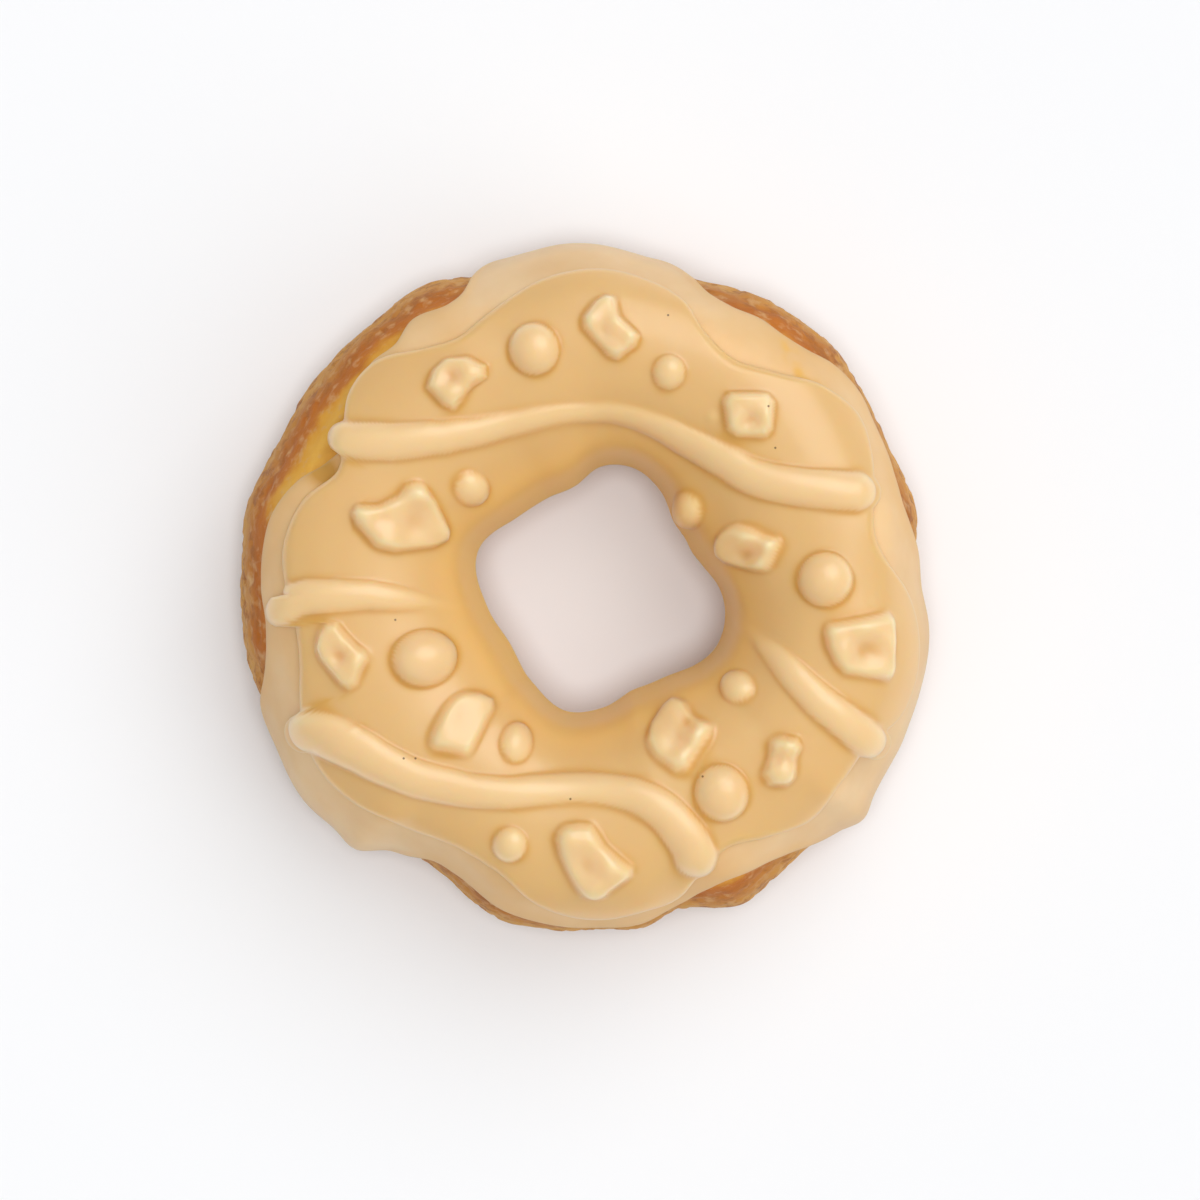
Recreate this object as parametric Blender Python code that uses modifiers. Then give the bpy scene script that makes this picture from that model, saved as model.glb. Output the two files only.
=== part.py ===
"""Iced ring doughnut: a fried dough ring, a poured glaze coat and a thicker topper with fused relief.

Metres, +Z up. The ring lies flat on its underside, centred on the origin.
Outlines are seen from above, bearings run anticlockwise in degrees from +X, sizes in millimetres.
"""
import math

import bmesh
import bpy
import numpy as np

MM = 0.001

# Driving dimensions
HOLE_CENTRE = (1.9, -0.3)
GAP = 0.4
GLAZE_THICKNESS = 1.0
TOPPER_THICKNESS = 1.4
HOLE_SIDE_TOPPER_HEM = 19.5

# Radius of the dough at its widest, by bearing
DOUGH_RADIUS = [(0, 42.4), (14, 44.2), (25, 43.2), (45, 44.7), (58, 43.9), (69, 42.2), (90, 43.5),
                (108, 42.4), (118, 44.3), (150, 44.2), (165, 45.2), (180, 44.6), (190, 45.0),
                (203, 44.0), (218, 44.5), (229, 43.3), (238, 40.4), (256, 43.9), (272, 43.3),
                (285, 42.9), (296, 45.9), (308, 43.9), (320, 45.6), (335, 44.6), (350, 44.2)]

# Radius of the dough's hole at its narrowest, by bearing about the hole's own centre
HOLE_RADIUS = [(0, 17.0), (12, 14.8), (28, 13.4), (42, 13.4), (58, 15.8), (76, 17.5), (90, 17.1),
               (102, 15.3), (120, 14.9), (140, 15.5), (161, 17.9), (190, 16.0), (212, 15.0),
               (235, 16.3), (255, 17.6), (287, 14.9), (303, 15.1), (337, 18.1)]

# Section of the ring, from the widest point over the crown, down the hole and back underneath:
# share of the ring's width, from 0 at the hole to 1 outside, and height
SECTION = [(1.0, 11.0), (0.985, 14.0), (0.957, 16.8), (0.922, 18.9), (0.88, 21.2), (0.82, 24.0),
           (0.73, 26.2), (0.62, 27.3), (0.50, 27.5), (0.38, 27.1), (0.26, 25.6), (0.14, 22.4),
           (0.05, 18.0), (0.0, 13.0), (0.01, 8.0), (0.07, 3.2), (0.17, 0.5), (0.27, 0.0),
           (0.40, 0.0), (0.53, 0.0), (0.66, 0.0), (0.79, 0.5), (0.91, 3.0), (0.98, 7.0)]

# How far round the section, as a share of it, the crown and the hole's narrowest point lie, how
# low a hem may start, and the step over which a slope is taken
CROWN = 8 / len(SECTION)
NARROWEST = 13 / len(SECTION)
LOWEST_HEM = -0.12
SLOPE_STEP = 0.004

# Height at which the glaze ends on the outside, by bearing: above 11 it leaves crust in view
GLAZE_HEM = [(0, 10.5), (14, 15.5), (28, 15.0), (50, 20.0), (62, 17.0), (72, 10.5), (92, 7.5),
             (106, 10.0), (118, 19.0), (135, 23.0), (150, 24.6), (165, 22.5), (190, 19.8),
             (202, 10.0), (218, 7.5), (240, 11.0), (254, 14.5), (268, 9.0), (285, 11.0),
             (296, 18.5), (310, 12.0), (322, 7.0), (345, 9.5)]

# Height at which the glaze ends in the hole, by bearing
HOLE_SIDE_GLAZE_HEM = [(30, 17.5), (80, 14.0), (160, 14.0), (215, 15.5), (290, 14.0), (340, 14.0)]

# Radius of the topper's edge, by bearing
TOPPER_EDGE = [(0, 40.2), (10, 37.5), (30, 40.6), (45, 38.0), (58, 34.8), (70, 37.6), (88, 40.2),
               (105, 37.9), (120, 35.8), (135, 39.1), (154, 34.9), (170, 38.6), (188, 37.3),
               (214, 40.9), (242, 36.8), (252, 38.0), (270, 42.0), (285, 41.2), (297, 38.1),
               (315, 41.1), (324, 40.6), (340, 43.0), (350, 42.7)]

# Thick waves of icing: x, y and half width along the middle line, tip to tip
RIBS = {
    "top_wave": [(-33.0, 18.7, 2.5), (-24.0, 18.4, 2.5), (-14.0, 19.8, 2.0), (-3.0, 22.2, 1.5),
                 (6.0, 22.1, 1.6), (14.5, 18.0, 2.1), (24.0, 13.4, 2.5), (38.5, 11.9, 2.9)],
    "left_wave": [(-39.9, -4.9, 2.4), (-36.5, -1.9, 2.5), (-30.0, -1.2, 2.3), (-23.0, -1.8, 1.6),
                  (-15.7, -2.9, 0.3)],
    "bottom_wave": [(-38.2, -17.2, 3.0), (-31.0, -19.9, 3.0), (-23.0, -24.0, 2.5),
                    (-12.0, -26.4, 2.2), (1.0, -25.9, 2.1), (8.5, -27.8, 2.5),
                    (13.4, -32.6, 2.6), (14.9, -37.8, 2.7)],
    "right_wave": [(19.5, -4.3, 0.3), (24.5, -9.0, 1.7), (29.5, -14.3, 2.4), (38.4, -21.4, 2.7)],
}
RIB_STATIONS = 18
RIB_TIP_SHARE = 0.06
RIB_SINK = 0.15
RIB_FOOT = 0.7

# Round pearls under the icing: x, y, half width and half depth in plan
PEARLS = [(-6.5, 30.4, 3.5, 3.5), (10.8, 27.3, 2.2, 2.3), (-14.5, 12.7, 2.3, 2.3),
          (13.3, 9.7, 2.1, 2.7), (30.7, 0.8, 3.6, 3.6), (19.5, -12.7, 2.2, 2.2),
          (17.5, -26.4, 3.6, 3.6), (-9.0, -20.0, 2.1, 2.6), (-9.7, -33.0, 2.2, 2.3),
          (-20.5, -9.3, 4.2, 3.7)]
PEARL_STAND = 0.8
PEARL_SINK = 0.2

# Broken chunks under the icing: place of the middle and the outline round it
CHUNKS = [
    ((-16.3, 26.0), [(-3.9, 0.0), (-1.2, 3.5), (3.4, 2.6), (4.0, -0.6), (1.6, -1.2), (-0.8, -3.5)]),
    ((3.7, 33.1), [(-0.8, 4.5), (-4.0, 0.5), (-2.3, -2.6), (0.1, -4.3), (3.7, -1.5), (1.2, 1.8)]),
    ((20.8, 22.2), [(-3.6, 2.8), (3.6, 2.8), (3.2, -2.3), (2.6, -2.9), (-2.9, -2.9), (-3.4, -2.2)]),
    ((-23.4, 8.8), [(-6.4, 1.0), (2.3, 4.5), (6.0, -2.2), (5.4, -3.2), (-2.4, -4.5), (-6.2, -0.5)]),
    ((20.4, 4.5), [(-4.4, 0.6), (-0.6, 3.3), (4.4, 1.4), (4.1, -0.1), (2.6, -2.8), (-3.3, -1.4)]),
    ((35.4, -7.9), [(-4.6, 3.2), (3.7, 4.6), (4.3, 1.0), (4.2, -3.6), (-3.0, -2.5), (-4.9, 0.8)]),
    ((25.3, -22.4), [(-0.4, 3.0), (2.7, 3.1), (2.7, 0.6), (1.0, -2.9), (-2.2, -3.0), (-2.4, -0.4)]),
    ((12.1, -18.9), [(0.0, 4.7), (-4.3, -0.9), (-0.5, -5.0), (4.1, -1.0), (4.0, 0.3), (1.5, 2.3)]),
    ((-15.5, -17.3), [(0.5, 3.8), (3.9, 2.3), (2.0, -2.0), (0.0, -4.2), (-4.2, -2.5), (-2.0, 2.0)]),
    ((-30.9, -8.9), [(-1.7, 4.4), (3.4, 0.0), (0.6, -4.2), (-0.4, -4.0), (-3.6, 0.2), (-3.0, 3.6)]),
    ((0.9, -35.4), [(-1.7, 4.8), (0.9, 4.6), (4.9, -1.8), (0.2, -4.5), (-1.6, -3.8), (-4.6, 2.2)]),
]
CHUNK_HEIGHT = 2.4
CHUNK_BEVEL = 0.8
LUMP_FOOT = 0.45

# Facets: steps round the ring and across the section, the glaze's share of them outside the
# crown, steps round and up a pearl, and rounds of a tube's bevel
ROUND_STEPS = 60
DOUGH_SECTION_STEPS = 24
GLAZE_SECTION_STEPS = 15
CROWN_ROW = 9 / GLAZE_SECTION_STEPS
TOPPER_SECTION_STEPS = 12
PEARL_SEGMENTS = 12
PEARL_RINGS = 7
RIB_BEVEL_STEPS = 2

# Points in a table that is searched, rounds of a search, and the distance in metres at which
# vertices of one seam are joined
SEARCH_STEPS = 240
SEARCH_ROUNDS = 12
WELD = 0.000002


def around(points, bearing):
    """Closed smooth curve through (bearing, value) points, read at bearings in radians."""
    marks = np.array([mark for mark, value in points], float)
    values = np.array([value for mark, value in points], float)
    marks = np.concatenate([marks - 360, marks, marks + 360])
    values = np.tile(values, 3)
    slopes = np.gradient(values, marks)
    turn = np.degrees(bearing) % 360
    k = np.searchsorted(marks, turn, side="right") - 1
    span = marks[k + 1] - marks[k]
    share = (turn - marks[k]) / span
    rise = values[k + 1] - values[k]
    pull_in = slopes[k] * span - rise
    pull_out = -slopes[k + 1] * span + rise
    blend = (1 - share) * pull_in + share * pull_out
    return values[k] + share * rise + share * (1 - share) * blend


def section(turn):
    """Closed smooth curve through SECTION: width share and height at a share of the way round it."""
    points = np.array(SECTION, float)
    place = (np.asarray(turn, float) % 1) * len(points)
    k = np.floor(place).astype(int)
    share = (place - k)[..., None]
    before, here, there, after = (points[(k + step) % len(points)] for step in (-1, 0, 1, 2))
    curve = 0.5 * (2 * here + (there - before) * share
                   + (2 * before - 5 * here + 4 * there - after) * share ** 2
                   + (3 * here - before - 3 * there + after) * share ** 3)
    return curve[..., 0], np.maximum(curve[..., 1], 0)


def skin(bearing, turn, lift):
    """Point on the dough at a bearing and a section turn, lifted square to the surface.

    Across the ring the point runs straight from the hole's edge to the outer edge.
    """
    inner = around(HOLE_RADIUS, bearing)
    outer = around(DOUGH_RADIUS, bearing)
    width = outer - inner - HOLE_CENTRE[0] * np.cos(bearing) - HOLE_CENTRE[1] * np.sin(bearing)
    share, height = section(turn)
    share_on, height_on = section(turn + SLOPE_STEP)
    share_off, height_off = section(turn - SLOPE_STEP)
    run = (share_on - share_off) * width
    rise = height_on - height_off
    length = np.hypot(run, rise)
    reach = (1 - share) * inner + share * outer + lift * rise / length
    x = (1 - share) * HOLE_CENTRE[0] + reach * np.cos(bearing)
    y = (1 - share) * HOLE_CENTRE[1] + reach * np.sin(bearing)
    return np.stack([x, y, height - lift * run / length], axis=-1)


def turn_at_height(height, start, end):
    """Section turn between start and end at which the dough has this height."""
    turns = np.linspace(start, end, SEARCH_STEPS)
    heights = section(turns)[1]
    order = np.argsort(heights)
    return np.interp(height, heights[order], turns[order])


def turn_at_radius(bearing, radius, lift):
    """Section turn on the outer shoulder at which the lifted surface has this radius, by bearing."""
    turns = np.linspace(0.0, CROWN, SEARCH_STEPS)
    found = []
    for angle, wanted in zip(bearing, radius):
        points = skin(np.full(turns.shape, angle), turns, lift)
        reach = np.hypot(points[:, 0], points[:, 1])
        order = np.argsort(reach)
        found.append(np.interp(wanted, reach[order], turns[order]))
    return np.array(found)


def height_at(x, y, lift):
    """Height of the lifted upper surface straight above a place in plan."""
    share = np.full(np.shape(x), 0.5)
    for _ in range(SEARCH_ROUNDS):
        from_x = x - (1 - share) * HOLE_CENTRE[0]
        from_y = y - (1 - share) * HOLE_CENTRE[1]
        bearing = np.arctan2(from_y, from_x) % math.tau
        inner = around(HOLE_RADIUS, bearing)
        outer = around(DOUGH_RADIUS, bearing)
        share = (np.hypot(from_x, from_y) - inner) / (outer - inner)
    turns = np.linspace(0.0, NARROWEST, SEARCH_STEPS)
    mean_width = (np.mean([radius for mark, radius in DOUGH_RADIUS])
                  - np.mean([radius for mark, radius in HOLE_RADIUS]))
    shares, heights = section(turns)
    run = np.gradient(shares) * mean_width
    rise = np.gradient(heights)
    length = np.hypot(run, rise)
    reach = shares * mean_width + lift * rise / length
    raised = heights - lift * run / length
    order = np.argsort(reach)
    return np.interp(share * mean_width, reach[order], raised[order])


def material(name, colour, roughness):
    """Principled material; the colour is linear red, green and blue."""
    made = bpy.data.materials.new(name)
    made.use_nodes = True
    shader = made.node_tree.nodes["Principled BSDF"]
    shader.inputs["Base Color"].default_value = (*colour, 1)
    shader.inputs["Roughness"].default_value = roughness
    shader.inputs["Metallic"].default_value = 0
    return made


def place_vertices(mesh, points):
    """Moves a mesh's vertices to points given in millimetres."""
    mesh.vertices.foreach_set("co", np.asarray(points * MM, dtype=np.float32).ravel())
    mesh.update()


def vertices_of(mesh):
    """A mesh's vertices as an array."""
    values = np.empty(len(mesh.vertices) * 3, dtype=np.float32)
    mesh.vertices.foreach_get("co", values)
    return values.reshape(-1, 3).astype(float)


def move_to(obj, collection):
    """Leaves an object in this collection alone."""
    for holder in list(obj.users_collection):
        holder.objects.unlink(obj)
    collection.objects.link(obj)


def wrapped_grid(name, steps, shape, collection):
    """Open band round the ring: a grid whose x runs round and whose y, 0 to 1, goes to shape()."""
    bpy.ops.mesh.primitive_grid_add(x_subdivisions=ROUND_STEPS, y_subdivisions=steps, size=1)
    band = bpy.context.object
    band.name = name
    flat = vertices_of(band.data)
    bearing = (flat[:, 0] + 0.5) * math.tau
    place_vertices(band.data, shape(bearing, flat[:, 1] + 0.5))
    mesh = bmesh.new()
    mesh.from_mesh(band.data)
    bmesh.ops.remove_doubles(mesh, verts=mesh.verts, dist=WELD)
    mesh.to_mesh(band.data)
    mesh.free()
    move_to(band, collection)
    return band


def shell(obj, thickness):
    """Gives an open surface its thickness, outwards."""
    solid = obj.modifiers.new("thickness", "SOLIDIFY")
    solid.thickness = thickness * MM
    solid.offset = 1
    solid.use_even_offset = True


def apply_modifiers(obj):
    """Makes an object's evaluated mesh its own mesh."""
    seen = obj.evaluated_get(bpy.context.evaluated_depsgraph_get())
    baked = bpy.data.meshes.new_from_object(seen)
    obj.modifiers.clear()
    obj.data = baked


def dough_ring(collection):
    """Fried dough ring: a torus whose section follows SECTION."""
    bpy.ops.mesh.primitive_torus_add(major_segments=ROUND_STEPS, minor_segments=DOUGH_SECTION_STEPS,
                                     major_radius=1.0, minor_radius=0.25)
    ring = bpy.context.object
    ring.name = "dough_ring"
    torus = vertices_of(ring.data)
    bearing = np.arctan2(torus[:, 1], torus[:, 0]) % math.tau
    turn = np.arctan2(torus[:, 2], np.hypot(torus[:, 0], torus[:, 1]) - 1.0) / math.tau
    place_vertices(ring.data, skin(bearing, turn, 0.0))
    ring.data.shade_smooth()
    ring.data.materials.append(material("fried_crust", (0.45, 0.22, 0.08), 0.6))
    move_to(ring, collection)
    return ring


def glaze_coat(collection):
    """First coat: a shell poured over the dough, ending in a wavy hem outside and in the hole."""
    def shape(bearing, across):
        outside = turn_at_height(around(GLAZE_HEM, bearing), LOWEST_HEM, CROWN)
        inside = turn_at_height(around(HOLE_SIDE_GLAZE_HEM, bearing), CROWN, NARROWEST)
        up = np.clip(across / CROWN_ROW, 0, 1)
        down = np.clip((across - CROWN_ROW) / (1 - CROWN_ROW), 0, 1)
        turn = outside * (1 - up) + CROWN * (up - down) + inside * down
        return skin(bearing, turn, GAP)

    coat = wrapped_grid("glaze_coat", GLAZE_SECTION_STEPS, shape, collection)
    shell(coat, GLAZE_THICKNESS)
    coat.data.shade_smooth()
    coat.data.materials.append(material("poured_glaze", (0.72, 0.53, 0.30), 0.35))
    return coat


def topper_plate(collection):
    """Second coat: a thicker plate of icing over the crown, with a wavy edge."""
    lift = 2 * GAP + GLAZE_THICKNESS
    top = lift + TOPPER_THICKNESS

    def shape(bearing, across):
        outside = turn_at_radius(bearing, around(TOPPER_EDGE, bearing), top)
        inside = turn_at_height(HOLE_SIDE_TOPPER_HEM, CROWN, NARROWEST)
        return skin(bearing, outside + (inside - outside) * across, lift)

    plate = wrapped_grid("topper", TOPPER_SECTION_STEPS, shape, collection)
    shell(plate, TOPPER_THICKNESS)
    return plate


def rest_on_plate(obj, foot_depth):
    """Drapes a piece modelled with the plate's top at z = 0 on to the plate, its foot inside it."""
    top = 2 * GAP + GLAZE_THICKNESS + TOPPER_THICKNESS
    points = vertices_of(obj.data) / MM
    points[:, 2] = np.maximum(points[:, 2], -foot_depth)
    points[:, 2] += height_at(points[:, 0], points[:, 1], top)
    place_vertices(obj.data, points)


def mesh_from_curve(curve, collection):
    """Closed mesh object made from a curve object, which is removed."""
    seen = curve.evaluated_get(bpy.context.evaluated_depsgraph_get())
    mesh = bpy.data.meshes.new_from_object(seen)
    made = bpy.data.objects.new(curve.name, mesh)
    made.matrix_world = curve.matrix_world.copy()
    collection.objects.link(made)
    bpy.data.objects.remove(curve)
    body = bmesh.new()
    body.from_mesh(mesh)
    bmesh.ops.remove_doubles(body, verts=body.verts, dist=WELD)
    bmesh.ops.recalc_face_normals(body, faces=body.faces)
    body.to_mesh(mesh)
    body.free()
    return made


def smooth_path(points, shares):
    """Open smooth curve through points, read at shares of the way from first to last."""
    points = np.array(points, float)
    padded = np.concatenate([[2 * points[0] - points[1]], points, [2 * points[-1] - points[-2]]])
    place = np.clip(np.asarray(shares) * (len(points) - 1), 0, len(points) - 1 - 1e-9)
    k = np.floor(place).astype(int)
    share = (place - k)[:, None]
    before, here, there, after = (padded[k + step] for step in range(4))
    return 0.5 * (2 * here + (there - before) * share
                  + (2 * before - 5 * here + 4 * there - after) * share ** 2
                  + (3 * here - before - 3 * there + after) * share ** 3)


def rib(name, route, collection):
    """Thick wave of icing: a tube of changing radius with round tips, sunk a little in the plate."""
    shares = (1 - np.cos(np.linspace(0, math.pi, RIB_STATIONS))) / 2
    path = smooth_path(route, shares)
    steps = np.hypot(*np.diff(path[:, :2], axis=0).T)
    along = np.concatenate([[0], np.cumsum(steps)])
    to_tip = np.minimum(along, along[-1] - along)
    inside = np.clip(to_tip / path[:, 2], 0, 1)
    radius = path[:, 2] * np.maximum(np.sqrt(1 - (1 - inside) ** 2), RIB_TIP_SHARE)

    curve = bpy.data.curves.new(name, "CURVE")
    curve.dimensions = "3D"
    curve.bevel_depth = MM
    curve.bevel_resolution = RIB_BEVEL_STEPS
    curve.use_fill_caps = True
    spline = curve.splines.new("POLY")
    spline.points.add(len(path) - 1)
    for point, (x, y, half_width), size in zip(spline.points, path, radius):
        point.co = (x * MM, y * MM, -RIB_SINK * half_width * MM, 1)
        point.radius = size
    tube = bpy.data.objects.new(name, curve)
    collection.objects.link(tube)
    bpy.context.view_layer.update()
    wave = mesh_from_curve(tube, collection)
    rest_on_plate(wave, RIB_FOOT)
    return wave


def pearl(x, y, half_width, half_depth, collection):
    """Round pearl: a ball set into the plate, wider or deeper where the real one is."""
    bpy.ops.mesh.primitive_uv_sphere_add(segments=PEARL_SEGMENTS, ring_count=PEARL_RINGS, radius=1)
    ball = bpy.context.object
    points = vertices_of(ball.data)
    stand = PEARL_STAND * (half_width + half_depth) / 2
    points *= (half_width, half_depth, stand)
    points += (x, y, PEARL_SINK * stand)
    place_vertices(ball.data, points)
    rest_on_plate(ball, LUMP_FOOT)
    move_to(ball, collection)
    return ball


def chunk(middle, outline, collection):
    """Broken chunk: a filled outline with depth and rounded rims."""
    curve = bpy.data.curves.new("chunk", "CURVE")
    curve.dimensions = "2D"
    curve.fill_mode = "BOTH"
    half = (CHUNK_HEIGHT + TOPPER_THICKNESS) / 2
    curve.bevel_depth = CHUNK_BEVEL * MM
    curve.bevel_resolution = 1
    curve.offset = -CHUNK_BEVEL * MM
    curve.extrude = (half - CHUNK_BEVEL) * MM
    spline = curve.splines.new("POLY")
    spline.points.add(len(outline) - 1)
    spline.use_cyclic_u = True
    for point, (x, y) in zip(spline.points, outline):
        point.co = ((middle[0] + x) * MM, (middle[1] + y) * MM, 0, 1)
    block = bpy.data.objects.new("chunk", curve)
    block.location.z = (CHUNK_HEIGHT - half) * MM
    collection.objects.link(block)
    bpy.context.view_layer.update()
    lump = mesh_from_curve(block, collection)
    lump.data.transform(lump.matrix_world)
    lump.matrix_world.identity()
    rest_on_plate(lump, LUMP_FOOT)
    return lump


def topper(collection):
    """The plate with its waves, pearls and chunks made one body by a union."""
    relief = bpy.data.collections.new("topper_relief")
    bpy.context.scene.collection.children.link(relief)
    plate = topper_plate(collection)
    apply_modifiers(plate)
    for name, route in RIBS.items():
        rib(name, route, relief)
    for x, y, half_width, half_depth in PEARLS:
        pearl(x, y, half_width, half_depth, relief)
    for middle, outline in CHUNKS:
        chunk(middle, outline, relief)
    union = plate.modifiers.new("fuse_relief", "BOOLEAN")
    union.operation = "UNION"
    union.operand_type = "COLLECTION"
    union.collection = relief
    union.solver = "EXACT"
    bpy.context.view_layer.update()
    apply_modifiers(plate)
    for piece in list(relief.objects):
        bpy.data.objects.remove(piece)
    bpy.data.collections.remove(relief)
    plate.data.shade_smooth()
    plate.data.materials.clear()
    plate.data.materials.append(material("set_icing", (0.80, 0.58, 0.31), 0.4))
    return plate


def main():
    """Clears the scene and builds the doughnut."""
    for obj in list(bpy.data.objects):
        bpy.data.objects.remove(obj)
    doughnut = bpy.data.collections.new("doughnut")
    bpy.context.scene.collection.children.link(doughnut)
    dough_ring(doughnut)
    glaze_coat(doughnut)
    topper(doughnut)


main()
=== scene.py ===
"""An iced ring doughnut on a pale floor, seen from straight above.

Sizes in the sections below are millimetres; MM turns them to Blender's metres in meshes and
patterns. Bearings run from +X towards +Y, in degrees in the lists and in radians in the functions.
"""

import bpy
import numpy as np
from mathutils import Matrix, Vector


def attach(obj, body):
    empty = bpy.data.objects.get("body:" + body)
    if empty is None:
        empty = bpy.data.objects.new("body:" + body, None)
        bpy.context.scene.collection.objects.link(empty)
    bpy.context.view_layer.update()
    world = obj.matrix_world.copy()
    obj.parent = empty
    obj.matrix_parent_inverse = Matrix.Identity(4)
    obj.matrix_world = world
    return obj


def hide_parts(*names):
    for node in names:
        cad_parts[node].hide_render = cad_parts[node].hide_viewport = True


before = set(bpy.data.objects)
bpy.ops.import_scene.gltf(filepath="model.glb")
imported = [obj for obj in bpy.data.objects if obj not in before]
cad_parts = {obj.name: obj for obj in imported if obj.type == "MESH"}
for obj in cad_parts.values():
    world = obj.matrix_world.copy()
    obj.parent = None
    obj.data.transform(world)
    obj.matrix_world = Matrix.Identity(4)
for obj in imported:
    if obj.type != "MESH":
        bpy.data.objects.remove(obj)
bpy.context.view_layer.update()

# Dough ring: yeast dough cut as a ring and fried on one side, then the other. Both faces brown,
# the side that stays above the fat keeps a pale band, and the skin wrinkles and blisters. It is
# one closed surface, a section carried round two uneven outlines.

MM = 0.001
HOLE_CENTRE = (1.9, -0.3)
DOUGH_BEARINGS = 560

# Turns and rows up the outside, where crust shows, and over the crown and through the hole
OUTSIDE_TURNS, OUTSIDE_ROWS = (-0.30, 0.26), 118
INSIDE_TURNS, INSIDE_ROWS = (0.26, 0.70), 52

# Radius at each bearing: the outer edge's about the doughnut's middle, the hole's about its own
DOUGH_RADIUS = [(0, 42.8), (14, 44.3), (25, 43.5), (35, 44.1), (45, 44.8), (56, 44.3), (65, 43.2),
                (70, 42.4), (78, 42.6), (90, 43.9), (104, 43.1), (110, 43.0), (118, 44.3),
                (128, 44.2), (145, 44.1), (155, 44.1), (165, 45.5), (180, 44.7), (190, 45.0),
                (203, 44.4), (218, 45.2), (224, 44.6), (229, 44.5), (233.5, 41.7), (238, 41.2),
                (245, 41.9), (256, 44.9), (262, 45.2), (272, 44.9), (280, 45.1), (286, 43.9),
                (296, 45.8), (305, 44.9), (312, 44.5), (316, 44.9), (320, 46.3), (324, 45.5),
                (335, 45.0), (351, 44.4)]
HOLE_RADIUS = [(0, 16.9), (12, 15.0), (20, 14.2), (31, 14.1), (42, 14.2), (58, 16.2), (76, 17.6),
               (90, 17.1), (102, 15.1), (120, 14.8), (140, 15.5), (161, 17.7), (190, 15.9),
               (212, 14.8), (235, 16.3), (255, 17.8), (271, 16.8), (287, 15.1), (303, 15.3),
               (337, 18.1)]

# Share of the ring's width, 0 at the hole and 1 outside, and height: up the outside, over the
# crown, down the hole and back underneath. A turn is a share of the way along this list.
SECTION = [(1.0, 11.0), (0.985, 14.0), (0.957, 16.8), (0.922, 18.9), (0.88, 21.2), (0.82, 24.0),
           (0.73, 26.2), (0.62, 27.3), (0.50, 27.5), (0.38, 27.1), (0.26, 25.6), (0.14, 22.4),
           (0.05, 18.0), (0.0, 13.0), (0.01, 8.0), (0.07, 3.2), (0.17, 0.5), (0.27, 0.0),
           (0.40, 0.0), (0.53, 0.0), (0.66, 0.0), (0.79, 0.5), (0.91, 3.0), (0.98, 7.0)]
CROWN = 8 / len(SECTION)
NARROWEST = 13 / len(SECTION)

# Relief of the skin: how far each kind stands out or goes in, and how wide one of it is
SWELLING, SWELLING_WIDTH = 0.35, 9.0
BUMP, BUMP_WIDTH = 0.18, 4.5
WRINKLE, WRINKLE_WIDTH, CRACK_WIDTH = 0.16, 3.4, 1.9
PIT, PIT_WIDTH = 0.28, 0.8

# Heights between which the skin turns smooth, and between which it rises off its flat underside
SMOOTH_BAND = (18.5, 20.0)
OFF_FLOOR = (0.3, 3.0)

# Height at the end of the crust's scale of colours, and the heights between which its toasted
# patches end below the pale band
CRUST_TOP = 30
TOAST_END = (19.5, 18.0)


def around(points, bearing):
    """Closed smooth curve through (degrees, value) points: a cubic between each two, whose slope at
    a point is worked out from the points beside it. It is read at bearings in radians."""
    marks = np.array([mark for mark, value in points], float)
    values = np.tile([value for mark, value in points], 3)
    marks = np.concatenate([marks - 360, marks, marks + 360])
    slopes = np.gradient(values, marks)
    turn = np.degrees(bearing) % 360
    k = np.searchsorted(marks, turn, side="right") - 1
    span = marks[k + 1] - marks[k]
    share = (turn - marks[k]) / span
    rise = values[k + 1] - values[k]
    pull = (1 - share) * (slopes[k] * span - rise) + share * (rise - slopes[k + 1] * span)
    return values[k] + share * rise + share * (1 - share) * pull


def soften(values, passes, wrap=True):
    """Each value becomes a quarter, a half and a quarter of its neighbours and itself, again and
    again along the first axis."""
    for _ in range(passes):
        before, after = np.roll(values, 1, axis=0), np.roll(values, -1, axis=0)
        if not wrap:
            before[0], after[-1] = values[0], values[-1]
        values = 0.25 * before + 0.5 * values + 0.25 * after
    return values


def section_table(count=1200, passes=500):
    """SECTION as a closed smooth curve: straight runs between its points, softened until round.
    What the softening took away is softened too and put back, so that the curve keeps its size."""
    place = np.arange(count) / count * len(SECTION)
    marks = np.arange(len(SECTION) + 1)
    closed = np.array(SECTION + SECTION[:1])
    curve = np.stack([np.interp(place, marks, closed[:, 0]), np.interp(place, marks, closed[:, 1])], 1)
    rounded = soften(curve, passes)
    return rounded + soften(curve - rounded, passes)


TABLE = section_table()


def section(turn):
    """Width share and height at a share of the way round the section."""
    place = np.mod(turn, 1) * len(TABLE)
    marks = np.arange(len(TABLE) + 1)
    share = np.interp(place, marks, np.append(TABLE[:, 0], TABLE[0, 0]))
    height = np.interp(place, marks, np.append(TABLE[:, 1], TABLE[0, 1]))
    return share, height


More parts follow.
